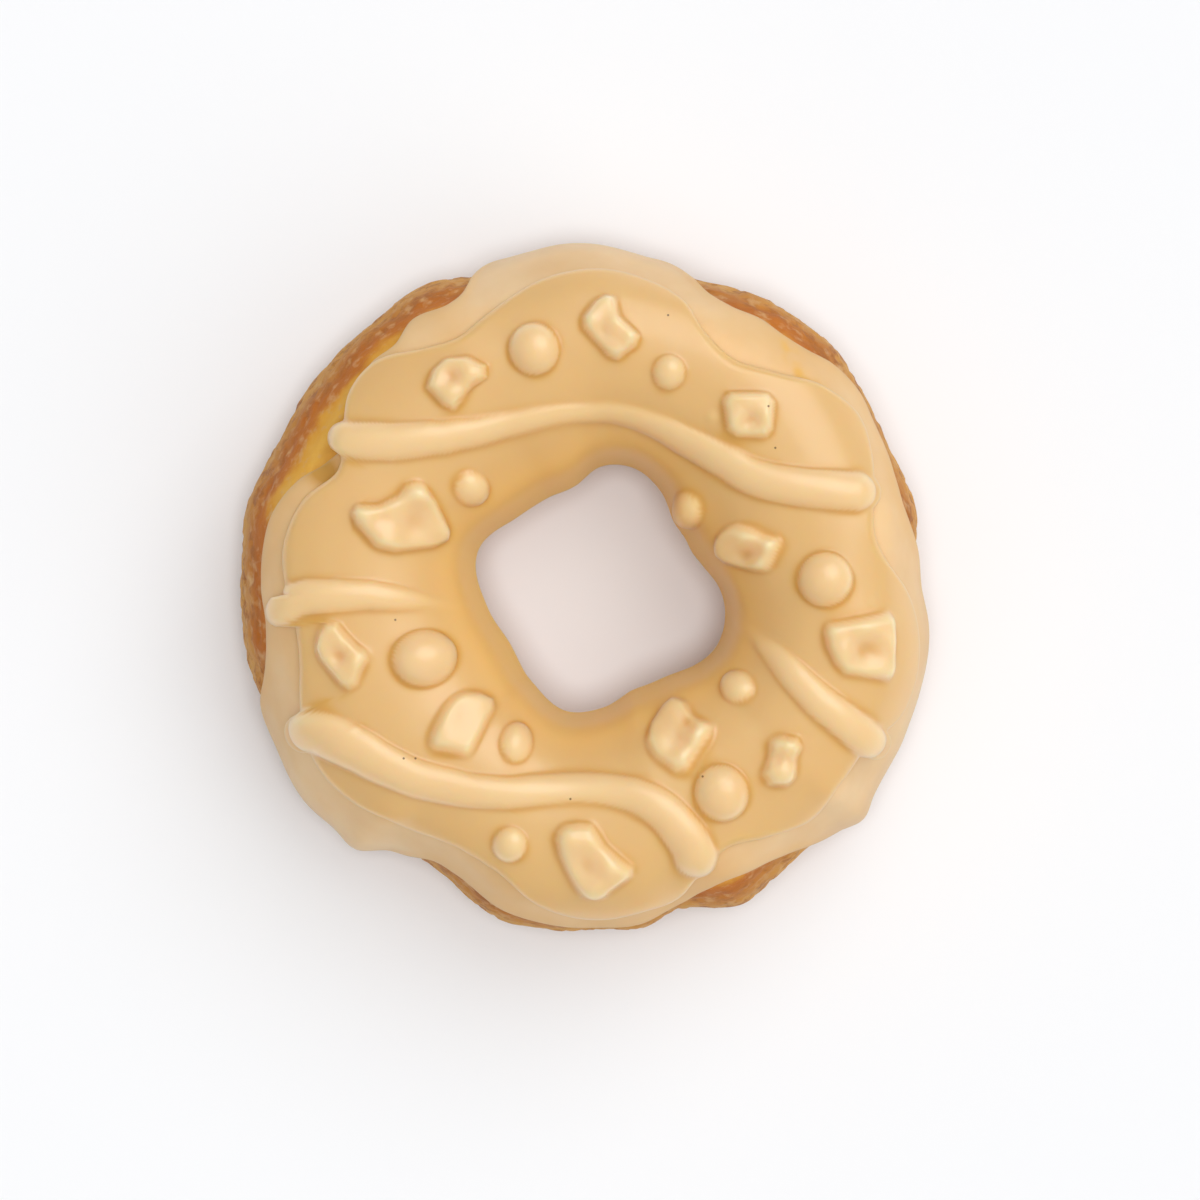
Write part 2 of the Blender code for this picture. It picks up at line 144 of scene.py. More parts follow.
def skin(bearing, turn):
    """Points on the dough and their outward directions. A point lies between the hole's edge and
    the outer edge by its width share. The direction is square to the section, whose slope is
    taken between a little before and a little after the point."""
    inner = around(HOLE_RADIUS, bearing)
    outer = around(DOUGH_RADIUS, bearing)
    width = outer - inner - HOLE_CENTRE[0] * np.cos(bearing) - HOLE_CENTRE[1] * np.sin(bearing)
    share, height = section(turn)
    step = 0.004
    share_on, height_on = section(turn + step)
    share_off, height_off = section(turn - step)
    run = (share_on - share_off) * width
    rise = height_on - height_off
    length = np.hypot(run, rise)
    reach = (1 - share) * inner + share * outer
    x = (1 - share) * HOLE_CENTRE[0] + reach * np.cos(bearing)
    y = (1 - share) * HOLE_CENTRE[1] + reach * np.sin(bearing)
    out = np.stack([rise / length * np.cos(bearing), rise / length * np.sin(bearing), -run / length], -1)
    return np.stack([x, y, np.maximum(height, 0)], -1), out


def cloud(points, size, seed):
    """Smooth random values from -1 to 1: random numbers on a lattice size apart, blended across
    each cell by an S curve in x, y and z."""
    cells = 32
    lattice = np.random.default_rng(seed).uniform(-1, 1, (cells, cells, cells))
    place = points / size
    cell = np.floor(place).astype(int)
    share = place - cell
    share = share * share * (3 - 2 * share)
    total = np.zeros(points.shape[:-1])
    for corner in np.ndindex(2, 2, 2):
        weight = np.prod(np.where(corner, share, 1 - share), axis=-1)
        i, j, k = np.moveaxis((cell + corner) % cells, -1, 0)
        total += weight * lattice[i, j, k]
    return total


def step_up(values, low, high):
    """0 below low, 1 above high, and an S curve between."""
    share = np.clip((values - low) / (high - low), 0, 1)
    return share * share * (3 - 2 * share)


def closed_band(name, points, marks):
    """Mesh of a closed band from points[i, j]: i runs round the ring, j round its section, and
    both join up. marks are named values for each point, kept as attributes."""
    rows, columns = points.shape[:2]
    index = np.arange(rows * columns).reshape(rows, columns)
    on = np.roll(index, -1, axis=0)
    faces = np.stack([index, on, np.roll(on, -1, axis=1), np.roll(index, -1, axis=1)], -1)
    mesh = bpy.data.meshes.new(name)
    mesh.from_pydata((points * MM).reshape(-1, 3), [], faces.reshape(-1, 4))
    for label, values in marks.items():
        layer = mesh.attributes.new(label, "FLOAT", "POINT")
        layer.data.foreach_set("value", values.astype(np.float32).ravel())
    mesh.shade_smooth()
    piece = bpy.data.objects.new(name, mesh)
    bpy.context.scene.collection.objects.link(piece)
    return piece


def linear(code):
    """sRGB hex colour as linear red, green, blue and full alpha."""
    parts = np.array([int(code[k:k + 2], 16) / 255 for k in (1, 3, 5)])
    curved = np.where(parts <= 0.04045, parts / 12.92, ((parts + 0.055) / 1.055) ** 2.4)
    return (*curved, 1.0)


def add(tree, kind, inputs=None, **settings):
    """Adds a node with these settings; an input that is given a socket is linked, others are set."""
    made = tree.nodes.new(kind)
    for label, value in settings.items():
        setattr(made, label, value)
    for label, value in (inputs or {}).items():
        if isinstance(value, bpy.types.NodeSocket):
            tree.links.new(value, made.inputs[label])
        else:
            made.inputs[label].default_value = value
    return made


def new_material(name):
    """Empty node material: its tree, its Principled shader and its Object coordinates."""
    made = bpy.data.materials.new(name)
    made.use_nodes = True
    tree = made.node_tree
    place = tree.nodes.new("ShaderNodeTexCoord").outputs["Object"]
    return made, tree, tree.nodes["Principled BSDF"], place


def ramp(tree, factor, stops):
    """Colour ramp: (position, hex colour) stops read at a factor."""
    made = add(tree, "ShaderNodeValToRGB", {"Fac": factor})
    bar = made.color_ramp
    while len(bar.elements) < len(stops):
        bar.elements.new(0.5)
    for element, (position, code) in zip(bar.elements, stops):
        element.position = position
        element.color = linear(code)
    return made.outputs["Color"]


def fried_crust():
    """Fried dough skin: browned starch, dry with a trace of fat. Its colour follows the height on
    the side, shifted up to 3 mm by clouds, and turns golden where the glaze begins. Below that it
    has toasted patches, with pale flecks scattered by a cloud, and a fine bump of pores."""
    made, tree, shader, place = new_material("fried_dough_crust")
    height = add(tree, "ShaderNodeSeparateXYZ", {"Vector": place}).outputs["Z"]
    drift = add(tree, "ShaderNodeTexNoise", {"Vector": place, "Scale": 1 / (4.2 * MM),
                                             "Detail": 4.0})
    shift = add(tree, "ShaderNodeMath", {0: drift.outputs["Fac"], 1: 6 * MM, 2: -3 * MM},
                operation="MULTIPLY_ADD")
    level = add(tree, "ShaderNodeMath", {0: height, 1: shift.outputs[0]}, operation="ADD")
    share = add(tree, "ShaderNodeMapRange", {"Value": level.outputs[0],
                                             "From Max": CRUST_TOP * MM})
    zones = ramp(tree, share.outputs["Result"],
                 [(0.0, "#cc8a34"), (0.25, "#d09038"), (0.42, "#d89e4c"), (0.54, "#c8843a"),
                  (0.62, "#bc6a1e"), (0.68, "#c87420"), (0.73, "#e2a034"), (0.80, "#eab450"),
                  (0.90, "#d08a38")])
    toast = add(tree, "ShaderNodeTexNoise", {"Vector": place, "Scale": 1 / (2.4 * MM),
                                             "Detail": 4.0, "Roughness": 0.65})
    below_band = add(tree, "ShaderNodeMapRange", {"Value": height, "From Min": TOAST_END[0] * MM,
                                                  "From Max": TOAST_END[1] * MM})
    browner = add(tree, "ShaderNodeMapRange", {"Value": toast.outputs["Fac"], "From Min": 0.50,
                                               "From Max": 0.64,
                                               "To Max": below_band.outputs["Result"]})
    toasted = add(tree, "ShaderNodeMix", {"Factor": browner.outputs["Result"], "A": zones,
                                          "B": linear("#ae6a2e")}, data_type="RGBA")
    fleck = add(tree, "ShaderNodeTexNoise", {"Vector": place, "Scale": 1 / (1.7 * MM),
                                             "Detail": 3.0})
    pale = ramp(tree, fleck.outputs["Fac"], [(0.54, "#000000"), (0.80, "#ffffff")])
    flecked = add(tree, "ShaderNodeMix", {"Factor": pale, "A": toasted.outputs["Result"],
                                          "B": linear("#dcae76")}, data_type="RGBA")
    tree.links.new(flecked.outputs["Result"], shader.inputs["Base Color"])
    pores = add(tree, "ShaderNodeTexNoise", {"Vector": place, "Scale": 1 / (0.7 * MM),
                                             "Detail": 5.0})
    bump = add(tree, "ShaderNodeBump", {"Height": pores.outputs["Fac"], "Distance": 0.2 * MM,
                                        "Strength": 0.6})
    tree.links.new(bump.outputs["Normal"], shader.inputs["Normal"])
    shader.inputs["Roughness"].default_value = 0.55
    shader.inputs["Specular IOR Level"].default_value = 0.15
    shader.inputs["Subsurface Weight"].default_value = 0.15
    shader.inputs["Subsurface Radius"].default_value = (1.0, 0.5, 0.2)
    shader.inputs["Subsurface Scale"].default_value = 1 * MM
    return made


def dough_ring():
    """The dough: its smooth skin lifted by two clouds that swell it, by wrinkles, which are a
    cloud less the size of a finer one, and by pits, a fine cloud with its hills cut off. The
    finer clouds are drawn out upwards. Wrinkles and pits are weak above the smooth band."""
    turn = np.concatenate([np.linspace(*OUTSIDE_TURNS, OUTSIDE_ROWS, endpoint=False),
                           np.linspace(*INSIDE_TURNS, INSIDE_ROWS, endpoint=False)])[None, :]
    bearing = np.arange(DOUGH_BEARINGS)[:, None] * 2 * np.pi / DOUGH_BEARINGS
    points, out = skin(*np.broadcast_arrays(bearing, turn))
    height = points[..., 2]
    drawn_out = points * (1, 1, 0.6)
    swelling = (SWELLING * cloud(points, SWELLING_WIDTH, 14)
                + BUMP * cloud(points, BUMP_WIDTH, 15))
    wrinkle = cloud(points, WRINKLE_WIDTH, 11) - np.abs(cloud(drawn_out, CRACK_WIDTH, 12))
    pit = np.minimum(cloud(drawn_out, PIT_WIDTH, 13), 0.15)
    rough = 1 - 0.7 * step_up(height, *SMOOTH_BAND)
    lift = step_up(height, *OFF_FLOOR) * (swelling + rough * (WRINKLE * wrinkle + PIT * pit))
    return closed_band("dough", points + out * lift[..., None], {})


dough = dough_ring()
dough.data.materials.append(fried_crust())
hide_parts("dough_ring")
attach(dough, "root")

# Glaze coat: warm sugar glaze poured over the crown, the first of two coats. It runs down the
# side in tongues and sets with a rounded hem, thin enough that the crust tints it. Its surface is
# the dough's, lifted by a thickness that grows from nothing at the hem.

GLAZE_THICKNESS = 0.9
GLAZE_HEM_ROUND = 0.9
GLAZE_BEARINGS = 720

# Bead behind the hem: height, distance from the hem and width
BEAD = (0.15, 1.5, 1.2)

# How far the glaze's edges sink into the dough, how deep its hidden face lies, and the rows of a
# coat's outer face that make one of its hidden face
GLAZE_SINK = 0.05
GLAZE_BACK = 0.5
BACK_STEP = 12

# Height of the lowest glaze at each bearing, outside and in the hole
GLAZE_HEM = [(0, 12.0), (5, 14.2), (8.6, 17.0), (14, 19.4), (19, 18.6), (24, 17.1), (30, 17.0),
             (36, 16.8), (42, 18.7), (47, 21.0), (52, 21.8), (57, 21.3), (63, 21.3), (68, 19.0),
             (71, 15.5), (76, 10.0), (88, 7.0), (100, 8.2), (106, 10.0), (109, 14.0), (113, 20.0),
             (116, 21.8), (124, 21.4), (128, 23.0), (134, 22.8), (139, 23.8), (144, 26.0),
             (150, 26.4), (154, 25.9), (159, 24.6), (165, 23.3), (171, 22.0), (180, 20.8),
             (187, 21.5), (191, 20.8), (194, 19.4), (197, 17.0), (200, 13.0), (204, 9.5),
             (212, 7.5), (222, 7.0), (230, 7.6), (234, 10.0), (240, 16.8), (246, 18.6),
             (256, 19.2), (262, 18.4), (268, 17.2), (275, 17.0), (281, 17.6), (287, 18.0),
             (291, 20.5), (295, 22.2), (300, 21.4), (305, 19.5), (309, 17.0), (312, 14.0),
             (317, 9.0), (325, 6.9), (334, 7.2), (345, 8.0), (354, 9.5)]
HOLE_SIDE_GLAZE_HEM = [(30, 17.0), (80, 13.0), (160, 13.0), (215, 14.5), (290, 13.0), (340, 13.0)]

# Where crumbs and coarse sugar lie along a fold of the glaze, there and back in plan
CRUMB_SEAM = [(25.2, 31.8), (26.1, 28.8), (27.4, 26.2), (30.6, 24.6), (27.4, 26.2), (26.1, 28.8)]

# Pocket with painted shadow in the glaze by the topper's longest wave tip: x, y, radius and depth
POCKET = (-33.2, 14.4, 1.8, 0.8)

# Turn on the underside from which the outer hem is looked for, and the turns between which the
# glaze passes into the hole
UNDERSIDE = -0.16
GLAZE_INTO_HOLE = (0.40, 0.50)


def turn_at_height(height, start, end):
    """Section turn between start and end at which the dough has this height."""
    turns = np.linspace(start, end, 400)
    heights = section(turns)[1]
    order = np.argsort(heights)
    return np.interp(height, heights[order], turns[order])


def rows_between(outside, inside, outer_rows, inner_rows):
    """Turns from the outer hem to the crown and on to the hem in the hole. Rows near the crown
    stay level round the ring, and those near a hem follow it. Outside the crown they lie a little
    closer together towards it."""
    down = np.linspace(0, 1, outer_rows, endpoint=False) ** 0.85
    over = np.linspace(0, 1, inner_rows)
    return np.concatenate([outside[:, None] * (1 - down) + CROWN * down,
                           CROWN * (1 - over) + inside[:, None] * over], axis=1)


def run_along(points):
    """Length along each column of points from its first row."""
    steps = np.linalg.norm(np.diff(points, axis=1), axis=-1)
    return np.concatenate([np.zeros((len(points), 1)), np.cumsum(steps, axis=1)], axis=1)


def rounded_hem(distance, width):
    """Quarter ellipse: 0 at the hem and 1 from this width on."""
    share = np.clip(distance / width, 0, 1)
    return np.sqrt(1 - (1 - share) ** 2)


def inside_outline(x, y, outline):
    """Signed distance into a closed outline: the distance to its nearest edge, less than 0
    outside."""
    nearest = np.full(x.shape, np.inf)
    inside = np.zeros(x.shape, bool)
    for (x1, y1), (x2, y2) in zip(outline, outline[1:] + outline[:1]):
        edge_x, edge_y = x2 - x1, y2 - y1
        share = ((x - x1) * edge_x + (y - y1) * edge_y) / (edge_x ** 2 + edge_y ** 2)
        share = np.clip(share, 0, 1)
        nearest = np.minimum(nearest, np.hypot(x - x1 - share * edge_x, y - y1 - share * edge_y))
        crosses = (y1 > y) != (y2 > y)
        side = x < x1 + (y - y1) * edge_x / (edge_y if edge_y else 1e-9)
        inside ^= crosses & side
    return np.where(inside, nearest, -nearest)


def closed_coat(name, face, under, marks):
    """Closed mesh of a coat: its outer face, then back along a hidden face of fewer rows. marks
    are given for the outer face, and the hidden one repeats them."""
    rows = np.arange(face.shape[1] - 2, 0, -BACK_STEP)
    both = {label: np.concatenate([values, values[:, rows]], axis=1)
            for label, values in marks.items()}
    return closed_band(name, np.concatenate([face, under[:, rows]], axis=1), both)


def poured_glaze():
    """Sugar glaze: fondant sugar set satin, letting light in a little way. The browner crust
    shows through where it is thin, and the same browner colour is painted shade in the pocket.
    Cloudy patches are where sugar has crystallised, and crumbs along the fold are golden."""
    made, tree, shader, place = new_material("poured_sugar_glaze")
    patches = add(tree, "ShaderNodeTexNoise", {"Vector": place, "Scale": 1 / (11 * MM),
                                               "Detail": 3.0})
    body = ramp(tree, patches.outputs["Fac"], [(0.3, "#eabe84"), (0.7, "#f4ce9c")])
    # Browner colour of thin glaze over the crust, also laid in the pocket as a painted shadow
    thin_and_shadow = add(tree, "ShaderNodeAttribute", attribute_name="thinness_and_shadow")
    tinted = add(tree, "ShaderNodeMix", {"Factor": thin_and_shadow.outputs["Fac"], "A": body,
                                         "B": linear("#cc9a4a")}, data_type="RGBA")
    crumbs = add(tree, "ShaderNodeAttribute", attribute_name="crumbs")
    crumbed = add(tree, "ShaderNodeMix", {"Factor": crumbs.outputs["Fac"],
                                          "A": tinted.outputs["Result"], "B": linear("#ecb860")},
                  data_type="RGBA")
    tree.links.new(crumbed.outputs["Result"], shader.inputs["Base Color"])
    grain = add(tree, "ShaderNodeTexNoise", {"Vector": place, "Scale": 1 / (2 * MM),
                                             "Detail": 3.0})
    bump = add(tree, "ShaderNodeBump", {"Height": grain.outputs["Fac"], "Distance": 0.1 * MM,
                                        "Strength": 0.3})
    tree.links.new(bump.outputs["Normal"], shader.inputs["Normal"])
    shader.inputs["Roughness"].default_value = 0.45
    shader.inputs["Specular IOR Level"].default_value = 0.5
    shader.inputs["Subsurface Weight"].default_value = 0.4
    shader.inputs["Subsurface Radius"].default_value = (1.0, 0.6, 0.3)
    shader.inputs["Subsurface Scale"].default_value = 2 * MM
    return made


def glaze_coat():
    """Outer face from the outer hem to the hem in the hole, over a hidden face just inside the
    dough. The thickness is even but for a rounded hem with a bead behind it, slow waves and the
    pocket. It counts as thin near the hem and down the hole, the pocket takes the same colour as
    a painted shadow, and crumbs lie within a millimetre of the fold."""
    bearing = np.arange(GLAZE_BEARINGS) * 2 * np.pi / GLAZE_BEARINGS
    outside = turn_at_height(around(GLAZE_HEM, bearing), UNDERSIDE, CROWN)
    inside = turn_at_height(around(HOLE_SIDE_GLAZE_HEM, bearing), CROWN, NARROWEST)
    turn = rows_between(outside, inside, outer_rows=80, inner_rows=36)
    points, out = skin(*np.broadcast_arrays(bearing[:, None], turn))
    from_hem = run_along(points)
    to_hole_hem = from_hem[:, -1:] - from_hem
    height, middle, width = BEAD
    bead = height * np.exp(-((from_hem - middle) / width) ** 2)
    waves = 0.15 * cloud(points, 11.0, 21) + 0.05 * cloud(points, 4.0, 22)
    rounding = rounded_hem(from_hem, GLAZE_HEM_ROUND) * rounded_hem(to_hole_hem, GLAZE_HEM_ROUND)
    x, y, radius, depth = POCKET
    pocket = np.exp(-((points[..., 0] - x) ** 2 + (points[..., 1] - y) ** 2) / radius ** 2)
    thickness = (GLAZE_THICKNESS + bead + waves - depth * pocket) * rounding
    face = points + out * (thickness - GLAZE_SINK)[..., None]
    thinness_and_shadow = 0.55 * np.exp(-from_hem / 2.0) + 0.6 * step_up(turn, *GLAZE_INTO_HOLE)
    # Painted shadow: the pocket takes the thin glaze's browner colour
    thinness_and_shadow += 1.2 * pocket
    aside = np.abs(inside_outline(points[..., 0], points[..., 1], CRUMB_SEAM))
    crumbs = np.exp(-(aside / 0.7) ** 2) * np.clip(0.5 + 1.2 * cloud(points, 1.0, 23), 0, 1)
    return closed_coat("glaze", face, points - out * GLAZE_BACK,
                       {"thinness_and_shadow": thinness_and_shadow, "crumbs": crumbs})


glaze = glaze_coat()
glaze.data.materials.append(poured_glaze())
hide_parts("glaze_coat")
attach(glaze, "root")

# Topper: a second, thicker coat of caramel icing poured over scattered pearls and broken chunks
# and combed into four thick waves, so that everything on it wears the same smooth skin with soft
# feet. It is one surface: the crown lifted by the coat's thickness and then by its relief.

# Height of the topper's foot over the dough, its thickness, and how deep its hidden face lies
# under the foot
TOPPER_SEAT = 1.0
TOPPER_THICKNESS = 1.5
TOPPER_BACK = 0.6
TOPPER_BEARINGS = 740

# Widths over which its two hems are rounded, distances from the hole's hem between which it
# thickens, and the turns between which it passes into the hole
TOPPER_HEM_ROUND = 1.3
HOLE_HEM_ROUND = 0.8
THICKENING = (1.0, 9.0)
TOPPER_INTO_HOLE = (0.40, 0.52)

# Height of the hem in the hole, and the outer edge's radius at each bearing, measured at this
# height over the dough
TOPPER_HOLE_HEM = 15.0
EDGE_HEIGHT = 1.5
TOPPER_EDGE = [(0, 40.2), (5, 38.3), (10, 37.5), (15, 37.9), (25, 39.9), (33, 40.7), (40, 39.6),
               (50, 36.3), (58, 34.7), (65, 35.6), (72, 38.3), (80, 39.6), (88, 40.2), (97, 39.5),
               (110, 36.8), (119, 35.7), (125, 36.7), (134, 39.1), (140, 38.9), (150, 35.9),
               (155, 34.9), (163, 37.6), (172, 38.7), (181, 38.0), (188, 37.3), (195, 37.7),
               (205, 39.7), (214, 40.9), (222, 40.3), (232, 38.2), (243, 36.8), (252, 38.0),
               (262, 41.1), (271, 42.0), (280, 41.7), (287, 40.8), (293, 38.7), (298, 38.0),
               (305, 39.2), (314, 41.1), (322, 40.9), (330, 41.0), (338, 43.0), (347, 43.0)]

# Waves: x, y and half width along the middle line, tip to tip
WAVES = {
    "top": [(-33.3, 18.7, 2.7), (-24.0, 18.5, 2.7), (-14.0, 19.8, 2.2), (-3.0, 22.2, 1.75),
            (6.0, 22.0, 1.8), (14.5, 18.0, 2.3), (24.0, 13.2, 2.7), (38.6, 11.8, 2.9)],
    "left": [(-40.2, -4.9, 2.4), (-36.5, -1.7, 2.6), (-30.0, -1.1, 2.4), (-23.0, -1.7, 1.8),
             (-15.0, -2.8, 0.3)],
    "bottom": [(-38.4, -17.2, 3.1), (-31.0, -19.9, 3.1), (-23.0, -24.0, 2.7), (-12.0, -26.4, 2.4),
               (1.0, -25.9, 2.3), (8.5, -27.8, 2.7), (13.2, -32.6, 3.0), (14.6, -37.8, 3.3)],
    "right": [(19.3, -4.1, 0.3), (24.5, -9.0, 1.9), (29.5, -14.3, 2.5), (38.6, -21.6, 2.8)],
}

# Pearls: x, y, half width and half depth; the last is only a faint bump
PEARLS = [(-6.5, 30.3, 3.4, 3.4), (10.8, 27.4, 2.3, 2.4), (-14.7, 12.7, 2.5, 2.5),
          (13.1, 9.8, 2.5, 2.9), (30.7, 0.9, 3.5, 3.7), (19.5, -12.8, 2.4, 2.4),
          (17.4, -26.4, 3.6, 3.7), (-9.0, -20.1, 2.3, 2.8), (-9.7, -33.0, 2.4, 2.4),
          (-20.6, -9.2, 4.2, 3.8), (16.2, 21.6, 1.0, 1.0)]

# Chunks: outline in plan, then hollows and humps on top as x, y, radius and height
CHUNKS = [
    ([(-20.3, 25.4), (-19.6, 27.6), (-17.9, 29.2), (-15.0, 29.4), (-12.7, 28.2), (-12.6, 26.7),
      (-14.5, 25.4), (-15.6, 23.9), (-16.7, 22.5), (-18.2, 23.1)],
     [(-14.8, 27.1, 1.3, 0.5), (-17.1, 24.6, 1.2, 0.4), (-17.1, 26.9, 1.0, -0.5),
      (-19.4, 25.8, 0.9, 0.2)]),
    ([(-0.3, 34.4), (1.1, 36.4), (2.6, 37.4), (3.9, 37.1), (4.4, 34.6), (7.0, 32.1), (6.5, 30.7),
      (4.2, 28.9), (2.9, 29.4), (0.8, 31.7), (-0.3, 33.1)],
     [(0.3, 34.2, 1.0, 0.4), (3.9, 33.5, 1.1, 0.5), (5.8, 31.9, 1.1, 0.5), (2.2, 32.4, 1.1, -0.3),
      (4.0, 30.2, 1.0, 0.2)]),
    ([(17.5, 23.9), (18.5, 24.8), (23.4, 24.8), (24.3, 23.6), (24.0, 20.0), (23.1, 19.0),
      (19.3, 19.1), (18.1, 20.0)],
     [(19.4, 21.5, 1.0, 0.4), (23.0, 21.8, 1.0, 0.4), (21.0, 21.1, 1.2, -0.6),
      (20.6, 23.8, 1.4, 0.2)]),
    ([(-30.0, 9.4), (-29.2, 10.4), (-26.4, 10.4), (-24.0, 11.6), (-22.7, 13.0), (-20.9, 13.4),
      (-19.1, 11.0), (-17.4, 7.3), (-17.6, 5.9), (-19.4, 5.0), (-24.4, 4.4), (-26.8, 5.0),
      (-29.3, 7.8)],
     [(-21.3, 11.7, 1.2, 0.6), (-22.2, 8.2, 1.9, -0.7), (-25.4, 6.0, 1.5, 0.5),
      (-28.2, 9.0, 1.3, 0.4), (-18.8, 7.2, 1.1, 0.4), (-26.0, 8.8, 0.9, -0.3)]),
    ([(16.6, 5.2), (16.9, 6.5), (18.0, 7.6), (19.4, 8.0), (21.1, 7.6), (23.0, 6.7), (24.6, 6.1),
      (24.9, 5.1), (24.2, 3.3), (23.4, 2.0), (22.0, 1.8), (19.8, 2.3), (17.8, 3.0), (16.8, 4.0)],
     [(20.8, 6.3, 1.3, 0.6), (23.9, 5.2, 1.0, 0.5), (20.9, 4.1, 1.3, -0.7),
      (18.2, 5.1, 1.3, 0.3), (22.6, 3.0, 0.9, 0.3)]),
    ([(30.5, -5.8), (31.0, -4.8), (36.2, -3.9), (39.0, -3.3), (39.7, -4.3), (39.7, -10.9),
      (39.0, -12.0), (33.2, -11.2), (31.9, -9.9), (30.9, -7.9)],
     [(33.2, -8.2, 1.2, 0.4), (35.8, -5.6, 1.6, 0.4), (38.8, -7.0, 1.1, 0.4),
      (36.0, -8.2, 2.1, -1.2), (32.0, -6.0, 1.2, 0.2)]),
    ([(23.6, -19.6), (24.9, -19.1), (27.1, -19.4), (27.7, -20.5), (27.1, -22.0), (26.9, -24.5),
      (26.0, -25.5), (23.4, -25.4), (22.6, -24.0), (23.4, -21.8)],
     [(25.9, -20.4, 1.2, 0.5), (24.9, -23.9, 1.4, 0.5), (24.4, -22.1, 0.8, -0.5),
      (26.6, -22.3, 0.8, -0.6)]),
    ([(7.7, -20.0), (8.4, -17.6), (10.0, -15.3), (11.2, -14.3), (12.8, -14.6), (13.9, -16.6),
      (16.3, -17.7), (16.0, -19.2), (14.2, -21.9), (13.0, -23.6), (11.6, -23.8), (8.8, -21.8)],
     [(9.8, -19.8, 1.3, 0.4), (14.6, -19.3, 1.3, 0.6), (12.5, -22.1, 1.1, 0.4),
      (13.4, -17.6, 1.0, -0.6), (11.4, -16.4, 1.2, 0.3), (12.2, -19.4, 1.0, -0.3)]),
    ([(-15.4, -13.5), (-13.5, -13.6), (-11.8, -14.5), (-11.6, -15.6), (-12.5, -17.3),
      (-13.5, -19.3), (-14.3, -20.9), (-15.0, -21.7), (-16.7, -21.4), (-19.3, -20.9),
      (-19.9, -20.3), (-19.8, -19.0), (-18.9, -17.1), (-17.9, -15.3), (-16.7, -14.0)],
     [(-16.6, -16.6, 1.3, -0.3), (-17.4, -19.6, 1.4, 0.3), (-13.6, -15.4, 1.2, 0.2)]),
    ([(-34.1, -5.8), (-33.0, -4.5), (-31.8, -4.5), (-30.8, -5.8), (-29.2, -7.5), (-27.8, -8.4),
      (-27.7, -9.4), (-28.4, -10.7), (-29.1, -12.6), (-30.1, -13.2), (-31.2, -12.7),
      (-32.7, -10.9), (-34.0, -9.2), (-34.5, -7.9)],
     [(-31.2, -7.0, 1.1, 0.4), (-29.4, -9.8, 1.2, 0.5), (-31.5, -8.9, 1.1, -0.6),
      (-33.6, -7.4, 0.9, 0.2)]),
    ([(-3.8, -32.4), (-3.5, -31.4), (-2.6, -30.6), (-0.7, -30.3), (0.8, -30.5), (1.6, -31.6),
      (2.5, -33.1), (4.2, -34.6), (6.0, -36.0), (5.9, -37.2), (3.4, -38.9), (2.4, -39.9),
      (0.8, -40.1), (-0.4, -39.6), (-1.4, -38.2), (-2.4, -36.3), (-3.3, -34.4)],
     [(-1.9, -32.4, 1.5, 0.6), (0.4, -32.6, 1.2, 0.4), (3.2, -36.0, 1.4, 0.6),
      (1.2, -38.4, 1.3, 0.5), (0.0, -35.6, 1.5, -0.5)]),
]

# Specks of burnt sugar: x and y
SPECKS = [(23.4, 23.0), (15.0, -24.3), (-24.3, -4.3), (-23.2, -22.0), (-21.7, -22.0),
          (-1.9, -27.2), (10.6, 34.7), (24.3, 17.7)]
SPECK_RADIUS = 0.09

# Height of a chunk, half the width of its sloping wall, and heights of a pearl and a wave as
# shares of their half widths
CHUNK_HEIGHT = 2.2
CHUNK_WALL = 0.7
PEARL_RISE = 0.9
WAVE_RISE = 0.75

# Shares of its height by which a chunk, and a pearl or a wave, leans outwards seen from above
CHUNK_LEAN = 0.5
LEAN = 0.2

# How far the hem stays inside a wave's tip, and the widths over which a wave's foot is filled
# where it meets the icing and where it pushes the hem out
TIP_UNDERCUT = 0.5
FOOT_FILL = 0.9
HEM_FILL = 0.5


def turn_at_radius(bearing, radius, lift):
    """Section turn on the outer shoulder at which the lifted surface has this radius."""
    turns = np.linspace(0.0, CROWN, 160)
    points, out = skin(*np.broadcast_arrays(bearing[:, None], turns[None, :]))
    raised = points + out * lift
    reach = np.hypot(raised[..., 0], raised[..., 1])
    return np.array([np.interp(wanted, row[::-1], turns[::-1]) for wanted, row in zip(radius, reach)])


def smooth_path(points, count):
    """Open smooth curve through points, as count points evenly spread in parameter: each run is a
    cubic whose end slopes are half the step between its end point's neighbours."""
    points = np.array(points, float)
    padded = np.concatenate([[2 * points[0] - points[1]], points, [2 * points[-1] - points[-2]]])
    place = np.linspace(0, len(points) - 1 - 1e-9, count)
    k = np.floor(place).astype(int)
    share = (place - k)[:, None]
    before, here, there, after = (padded[k + step] for step in range(4))
    return 0.5 * (2 * here + (there - before) * share
                  + (2 * before - 5 * here + 4 * there - after) * share ** 2
                  + (3 * here - before - 3 * there + after) * share ** 3)


def blur(values, passes):
    """Softens a field over the coat, round the ring and across it."""
    return soften(soften(values, passes).T, passes, wrap=False).T


def dome(reach):
    """Height of a round lump: a quarter circle from 1 at its middle to near its outline at reach
    1, then straight down at the slope it has there."""
    knee = 0.95
    low = np.sqrt(1 - knee ** 2)
    circle = np.sqrt(1 - np.clip(reach, 0, knee) ** 2)
    return circle - np.maximum(reach - knee, 0) * knee / low


def fuse(one, other, width):
    """The higher of two reliefs, with the crease between them filled over this width."""
    near = np.maximum(width - np.abs(one - other), 0) / width
    return np.maximum(one, other) + near * near * width / 4


def foot_under(plan, height, points, out):
    """Point of the coat from which a lump of this height, leaning as it does, is seen over this
    place in plan: the grid's point with the smallest miss."""
    top = points + out * height * LEAN
    miss = np.hypot(top[..., 0] - plan[0], top[..., 1] - plan[1])
    return points[np.unravel_index(np.argmin(miss), miss.shape)]


